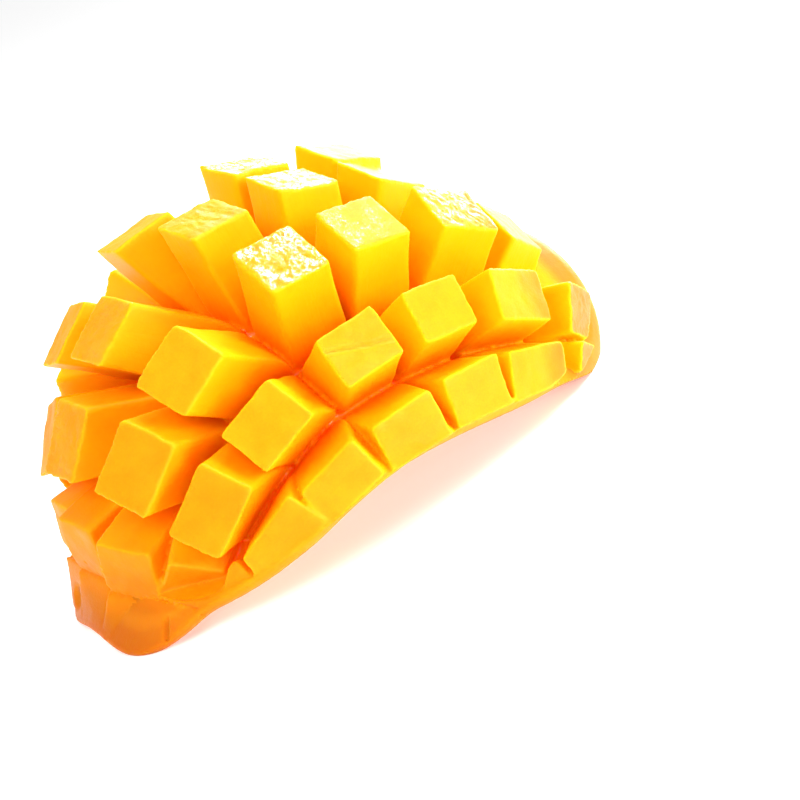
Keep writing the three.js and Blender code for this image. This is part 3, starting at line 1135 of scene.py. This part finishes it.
class NodeSheet:
    """The nodes of one material."""

    def __init__(self, name: str) -> None:
        """Makes an empty material.

        Args:
            name: Its name.
        """
        self.material = bpy.data.materials.new(name)
        self.material.use_nodes = True
        self.tree = self.material.node_tree
        self.tree.nodes.clear()

    def add(self, kind: str, settings: Mapping[str, object], inputs: Mapping[int | str, object]) -> Added:
        """Adds a node.

        Args:
            kind: The node's type.
            settings: Its properties, and for a colour ramp its stops as (place, colour).
            inputs: A value or a link for each of its sockets, by name or number.

        Returns:
            The added node.
        """
        node = self.tree.nodes.new(kind)
        for name, setting in settings.items():
            if name == "stops":
                ramp = node.color_ramp
                while len(ramp.elements) < len(setting):
                    ramp.elements.new(0.5)
                for element, (place, colour) in zip(ramp.elements, setting):
                    element.position = place
                    element.color = (*colour, 1.0)
            else:
                setattr(node, name, setting)
        for name, value in inputs.items():
            if isinstance(value, Value):
                self.tree.links.new(value.socket, node.inputs[name])
            elif isinstance(value, tuple) and node.inputs[name].type == "RGBA":
                node.inputs[name].default_value = (*value, 1.0)
            else:
                node.inputs[name].default_value = value
        return Added(self, node)

    def attribute(self, name: str) -> Added:
        """Adds a node that reads a mesh attribute."""
        return self.add("ShaderNodeAttribute", {"attribute_name": name}, {})

    def stretched(self, vector: Value, scale: Colour) -> Value:
        """Returns a vector with each axis scaled."""
        return self.add("ShaderNodeVectorMath", {"operation": "MULTIPLY"}, {0: vector, 1: scale}).out(0)

    def noise(self, vector: Value, scale: float, detail: float = 2.0, distortion: float = 0.0) -> Value:
        """Returns smooth noise with features of about 1 / scale."""
        inputs = {"Vector": vector, "Scale": scale, "Detail": detail, "Distortion": distortion}
        return self.add("ShaderNodeTexNoise", {}, inputs).out(0)

    def cells(self, vector: Value, scale: float) -> Value:
        """Returns the distance to the nearest of scattered points, about 1 / scale apart."""
        return self.add("ShaderNodeTexVoronoi", {}, {"Vector": vector, "Scale": scale}).out("Distance")

    def ramp(self, factor: Value, stops: Sequence[tuple[float, Colour]]) -> Value:
        """Returns a colour from a ramp of colours."""
        return self.add("ShaderNodeValToRGB", {"stops": stops}, {0: factor}).out(0)

    def mix(self, factor: Value | float, first: Value | Colour, second: Value | Colour) -> Value:
        """Returns a mix of two colours."""
        settings = {"data_type": "RGBA"}
        return self.add("ShaderNodeMix", settings, {0: factor, 6: first, 7: second}).out(2)

    def bump(self, height: Value, distance: float, strength: float) -> Value:
        """Returns a normal bumped by a height, whose distance is in millimetres."""
        inputs = {"Height": height, "Distance": distance * MM, "Strength": strength}
        return self.add("ShaderNodeBump", {}, inputs).out(0)

    def shader(self, inputs: Mapping[str, object]) -> Value:
        """Returns one shader with these inputs."""
        return self.add("ShaderNodeBsdfPrincipled", {}, inputs).out(0)

    def finish(self, surface: Value) -> bpy.types.Material:
        """Ends the sheet in a surface and returns its material."""
        self.add("ShaderNodeOutputMaterial", {}, {"Surface": surface})
        return self.material


def sheet_colour(red: int, green: int, blue: int) -> Colour:
    """Returns a screen colour, from 0 to 255, as a linear one."""
    parts = (part / 255 for part in (red, green, blue))
    return tuple(part / 12.92 if part < 0.0431 else ((part + 0.055) / 1.055) ** 2.4 for part in parts)


@dataclass(frozen=True)
class Layer:
    """What a finish gives to the piece: its colour, roughness and height for bumps."""

    colour: Value
    roughness: Value
    height: Value


@dataclass(frozen=True)
class FleshFinish:
    """Ripe mango flesh: yellow faces, orange walls darkened to deep orange towards the valleys as painted
    shade, a painted highlight along the cube edges, and fine fibres.
    """

    # root and low: painted shade, the deep orange of the walls down in the valleys between the cubes.
    root: Colour = sheet_colour(255, 126, 2)
    low: Colour = sheet_colour(254, 152, 2)
    wall: Colour = sheet_colour(254, 181, 4)
    top: Colour = sheet_colour(255, 182, 8)
    face: Colour = sheet_colour(255, 160, 12)
    orange: Colour = sheet_colour(252, 132, 4)
    # edge: painted highlight, the paler band along the edges of the cut faces.
    edge: Colour = sheet_colour(255, 176, 30)
    tip: Colour = sheet_colour(184, 106, 8)
    stem: Colour = sheet_colour(158, 68, 2)
    beak: Colour = sheet_colour(212, 102, 28)
    mottle_scale: float = 0.12
    streak_scale: float = 0.8
    fine_scale: float = 2.2
    roughness: float = 0.42

    def cubes(self, sheet: NodeSheet, look: Added, mottle: Value, streaks: Value, fine: Value) -> Value:
        """Colours the walls from the valleys up, with painted shade that darkens them to deep orange in
        the valleys, and the cut faces.

        Args:
            sheet: The sheet of nodes to lay the colour out on.
            look: Height above the root, share of cut face and tone.
            mottle: Noise with the largest features.
            streaks: Noise drawn out along the fibres.
            fine: Noise with the smallest features.

        Returns:
            The colour.
        """
        rise, face, tone = look.out(0), look.out(1), look.out(2)
        height = rise + (mottle - 0.5) * 0.3 + (streaks - 0.5) * 0.14
        # Painted shade: the walls darken from yellow at the top to deep orange at the root, in the
        # valleys between the cubes.
        stops = ((0.0, self.root), (0.18, self.low), (0.55, self.wall), (1.0, self.top))
        walls = sheet.ramp(height, stops)
        tops = sheet.mix((fine + mottle - 0.75).between(0.0, 0.6), self.face, self.orange)
        colour = sheet.mix(face.between(0.4, 0.9), walls, sheet.mix(0.4, self.face, tops))
        return sheet.mix((tone + (mottle - 0.5) * 0.5).between(0.2, 1.1) * 0.9, colour, self.orange)

    def ends(self, sheet: NodeSheet, place: Value, face: Value, mottle: Value, colour: Value) -> Value:
        """Lays darker, deeper orange colours over the flesh near the stem end and the beak end, darkest
        towards the stem tip.

        Args:
            sheet: The sheet of nodes to lay the colour out on.
            place: Where each point is in the flat half.
            face: Share of cut face.
            mottle: Noise that makes the border uneven.
            colour: The colour of the flesh.

        Returns:
            The colour with its ends.
        """
        along = sheet.add("ShaderNodeSeparateXYZ", {}, {0: place}).out(0)
        in_band = (FlatHalf.band_from - along).between(0.0, 2.0)
        on_face = face.between(0.5, 0.9)
        reach = (abs(along) + (mottle - 0.5) * 8).between(34.0, 52.0)
        stem_end = sheet.mix((-45 - along).between(2.0, 14.0), self.tip, self.stem)
        both = sheet.mix(along.between(20.0, 40.0), stem_end, self.beak)
        return sheet.mix(reach * (on_face + in_band - on_face * in_band) * 0.75, colour, both)

    def lay(self, sheet: NodeSheet, place: Value, look: Added) -> Layer:
        """Lays the flesh out.

        Args:
            sheet: The sheet of nodes to lay it out on.
            place: Where each point is in the flat half.
            look: Height above the root, share of cut face and tone.

        Returns:
            Its colour, roughness and height.
        """
        face = look.out(1)
        mottle = sheet.noise(place, self.mottle_scale, 3.0)
        streaks = sheet.noise(sheet.stretched(place, (1.0, 1.0, 0.16)), self.streak_scale, 3.0, 0.4)
        fine = sheet.noise(place, self.fine_scale, 4.0)
        colour = self.cubes(sheet, look, mottle, streaks, fine)
        colour = self.ends(sheet, place, face, mottle, colour)
        # Painted highlight: the edge colour is mixed in along the rounded edges of the cut faces, where
        # the face share is between 0 and 1.
        edges = face * (1 - face) * 4
        colour = sheet.mix(edges * 0.18, colour, self.edge)
        return Layer(colour, self.roughness + (fine - 0.5) * 0.3, streaks * 0.6 + fine * 0.4)


@dataclass(frozen=True)
class SkinFinish:
    """Mango skin: yellow to orange, smooth and waxy, with small pale specks."""

    yellow: Colour = sheet_colour(248, 166, 24)
    orange: Colour = sheet_colour(236, 112, 10)
    speck: Colour = sheet_colour(255, 218, 110)
    blush_scale: float = 0.03
    speck_scale: float = 0.3
    fine_scale: float = 1.2
    roughness: float = 0.36

    def lay(self, sheet: NodeSheet, place: Value) -> Layer:
        """Lays the skin out.

        Args:
            sheet: The sheet of nodes to lay it out on.
            place: Where each point is in the flat half.

        Returns:
            Its colour, roughness and height.
        """
        blush = sheet.noise(place, self.blush_scale, 2.0)
        spots = sheet.cells(place, self.speck_scale)
        size = sheet.noise(place, 0.2, 1.0)
        speck = 1 - (spots / (0.1 + size * 0.22)).between(0.5, 1.0)
        colour = sheet.mix(blush.between(0.4, 0.65), self.orange, self.yellow)
        colour = sheet.mix(speck * 0.8, colour, self.speck)
        fine = sheet.noise(place, self.fine_scale, 3.0)
        return Layer(colour, self.roughness + (fine - 0.5) * 0.2, fine * 0.4 + speck * 0.3)


@dataclass(frozen=True)
class MangoFinish:
    """The finish of the whole piece: flesh and skin, with juice standing on some cut faces."""

    flesh: FleshFinish = field(default_factory=FleshFinish)
    skin: SkinFinish = field(default_factory=SkinFinish)
    dry_gloss: float = 0.12
    wet_gloss: float = 1.0
    wet_roughness: float = 0.12
    glow: float = 0.7
    glow_reach: Colour = (1.0, 0.36, 0.06)
    glow_size: float = 5.0 * MM
    fold_scale: float = 1.15
    patch_scale: float = 0.16

    def juice(self, sheet: NodeSheet, place: Value, look: Added, wetness: Value) -> tuple[Value, Value]:
        """Lays juice on the ridges of the wet faces and in the seams between the cubes.

        Args:
            sheet: The sheet of nodes to lay it out on.
            place: Where each point is in the flat half.
            look: Height above the root and share of cut face.
            wetness: How wet the cube's cut face is.

        Returns:
            How much juice stands on the ridges and in the seams, each from 0 to 1.
        """
        wet_face = wetness * look.out(1).between(0.3, 0.8)
        folds = sheet.noise(sheet.stretched(place, (1.0, 0.75, 1.0)), self.fold_scale, 2.0, 0.6)
        patches = sheet.noise(place, self.patch_scale, 2.0).between(0.36, 0.6)
        width = wet_face * (0.02 + patches * 0.055) - 0.012
        ridges = (width - abs(folds - 0.5)).between(-0.008, 0.008)
        seams = (0.1 - look.out(0) + (sheet.noise(place, 0.3, 3.0) - 0.5) * 0.3).between(0.0, 0.08)
        return ridges, seams

    def build(self) -> bpy.types.Material:
        """Builds the material.

        Returns:
            The material, which reads the attributes flat, look and skin.
        """
        sheet = NodeSheet("mango")
        place = sheet.attribute("flat").out("Vector")
        data = sheet.attribute("look")
        look = sheet.add("ShaderNodeSeparateColor", {}, {0: data.out("Color")})
        outside = sheet.attribute("skin").out("Fac").between(0.6, 0.95)
        flesh = self.flesh.lay(sheet, place, look)
        skin = self.skin.lay(sheet, place)
        height = flesh.height * (1 - outside) + skin.height * outside
        body = {
            "Base Color": sheet.mix(outside, flesh.colour, skin.colour),
            "Subsurface Weight": self.glow,
            "Subsurface Radius": self.glow_reach,
            "Subsurface Scale": self.glow_size,
        }
        dry = {
            "Roughness": flesh.roughness * (1 - outside) + skin.roughness * outside,
            "IOR": 1.42,
            "Specular IOR Level": self.dry_gloss,
            "Normal": sheet.bump(height, 0.3, 0.4),
        }
        wet = {
            "Roughness": self.wet_roughness,
            "IOR": 1.8,
            "Specular IOR Level": self.wet_gloss,
            "Normal": sheet.bump(sheet.noise(place, 1.8, 2.0), 0.1, 0.5),
        }
        ridges, seams = self.juice(sheet, place, look, data.out("Alpha"))
        where = ridges + seams * (1 - outside) * 0.5
        layers = {0: where, 1: sheet.shader(body | dry), 2: sheet.shader(body | wet)}
        return sheet.finish(sheet.add("ShaderNodeMixShader", {}, layers).out(0))


@dataclass(frozen=True)
class Lamp:
    """A soft area light that shines on the piece.

    Attributes:
        name: Its name.
        side: Metres to the camera's right of the piece.
        above: Metres up from the piece, in the camera's view.
        toward: Metres from the piece towards the camera.
        size: The length of its side, in metres.
        power: Its power, in watts.
        mirrored: Whether wet faces mirror it.
    """

    name: str
    side: float
    above: float
    toward: float
    size: float
    power: float
    mirrored: bool = True


@dataclass(frozen=True)
class Studio:
    """A pale floor, soft light from above and behind, and the camera."""

    target: tuple[float, float, float] = (25.31, 5.15, 4.74)
    distance: float = 478.0
    azimuth: float = 36.062
    down: float = 16.766
    roll: float = 23.633
    lens: float = 99.55
    floor_size: float = 6.0
    floor_colour: Colour = (0.86, 0.86, 0.86)
    floor_glow: float = 0.3
    world_strength: float = 0.7
    lit: tuple[float, float, float] = (0.0, 0.0, 0.03)
    lamps: tuple[Lamp, ...] = (
        Lamp("top", side=0.17, above=0.84, toward=-0.04, size=0.48, power=7.5),
        Lamp("back", side=0.15, above=0.55, toward=-0.65, size=0.6, power=9.5),
        Lamp("right", side=0.68, above=0.3, toward=0.45, size=0.35, power=6.2),
        Lamp("front", side=-0.4, above=0.25, toward=0.7, size=0.5, power=4.4, mirrored=False),
    )

    def camera_axes(self) -> tuple[Vector, Vector, Vector]:
        """Works out how the camera stands.

        Returns:
            Its right, up and forward directions.
        """
        azimuth, down, roll = (math.radians(a) for a in (self.azimuth, self.down, self.roll))
        level = math.cos(down)
        forward = Vector((math.sin(azimuth) * level, math.cos(azimuth) * level, -math.sin(down)))
        right = forward.cross(Vector((0, 0, 1))).normalized()
        up = right.cross(forward)
        turned_up = up * math.cos(roll) + right * math.sin(roll)
        return forward.cross(turned_up), turned_up, forward

    def add_camera(self) -> None:
        """Adds the camera and makes it the scene's."""
        right, up, forward = self.camera_axes()
        lens = bpy.data.cameras.new("camera")
        lens.sensor_width = 36.0
        lens.lens = self.lens
        lens.clip_start = 0.01
        camera = bpy.data.objects.new("camera", lens)
        turn = Matrix((right, up, -forward)).transposed().to_4x4()
        place = (Vector(self.target) - forward * self.distance) * MM
        camera.matrix_world = Matrix.Translation(place) @ turn
        bpy.context.scene.collection.objects.link(camera)
        bpy.context.scene.camera = camera

    def add_light(self, lamp: Lamp) -> None:
        """Adds a light.

        Args:
            lamp: What it is like and where it goes.
        """
        right, up, forward = self.camera_axes()
        data = bpy.data.lights.new(lamp.name, "AREA")
        data.size = lamp.size
        data.energy = lamp.power
        light = bpy.data.objects.new(lamp.name, data)
        light.location = Vector(self.lit) + right * lamp.side + up * lamp.above - forward * lamp.toward
        light.rotation_euler = (Vector(self.lit) - light.location).to_track_quat("-Z", "Y").to_euler()
        light.visible_camera = False
        light.visible_glossy = lamp.mirrored
        bpy.context.scene.collection.objects.link(light)

    def add_floor(self) -> None:
        """Adds the floor, with its own plain material."""
        half = self.floor_size / 2
        mesh = bpy.data.meshes.new("floor")
        corners = [(-half, -half, 0), (half, -half, 0), (half, half, 0), (-half, half, 0)]
        mesh.from_pydata(corners, [], [(0, 1, 2, 3)])
        floor = bpy.data.objects.new("floor", mesh)
        bpy.context.scene.collection.objects.link(floor)
        sheet = NodeSheet("pale_floor")
        plain = sheet.shader(
            {
                "Base Color": self.floor_colour,
                "Roughness": 0.7,
                "Emission Color": WHITE,
                "Emission Strength": self.floor_glow,
            }
        )
        mesh.materials.append(sheet.finish(plain))

    def build(self) -> None:
        """Adds everything around the piece."""
        self.add_camera()
        self.add_floor()
        for lamp in self.lamps:
            self.add_light(lamp)
        world = bpy.data.worlds.new("studio")
        world.use_nodes = True
        background = world.node_tree.nodes["Background"]
        background.inputs["Color"].default_value = (1.0, 1.0, 1.0, 1.0)
        background.inputs["Strength"].default_value = self.world_strength
        bpy.context.scene.world = world
        bpy.context.scene.view_settings.view_transform = "Standard"


def main() -> None:
    """Builds the studio and the mango half, and logs the piece's name."""
    logging.basicConfig(level=logging.INFO, format="%(name)s: %(message)s")
    noise.seed_set(NOISE_SEED)
    Studio().build()
    LOG.info("studio built")
    piece = MangoHalf().build()
    piece.data.materials.clear()
    piece.data.materials.append(MangoFinish().build())
    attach(piece, "root")
    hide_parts("mango_half")
    LOG.info("built %s", piece.name)


if __name__ == "__main__":
    main()
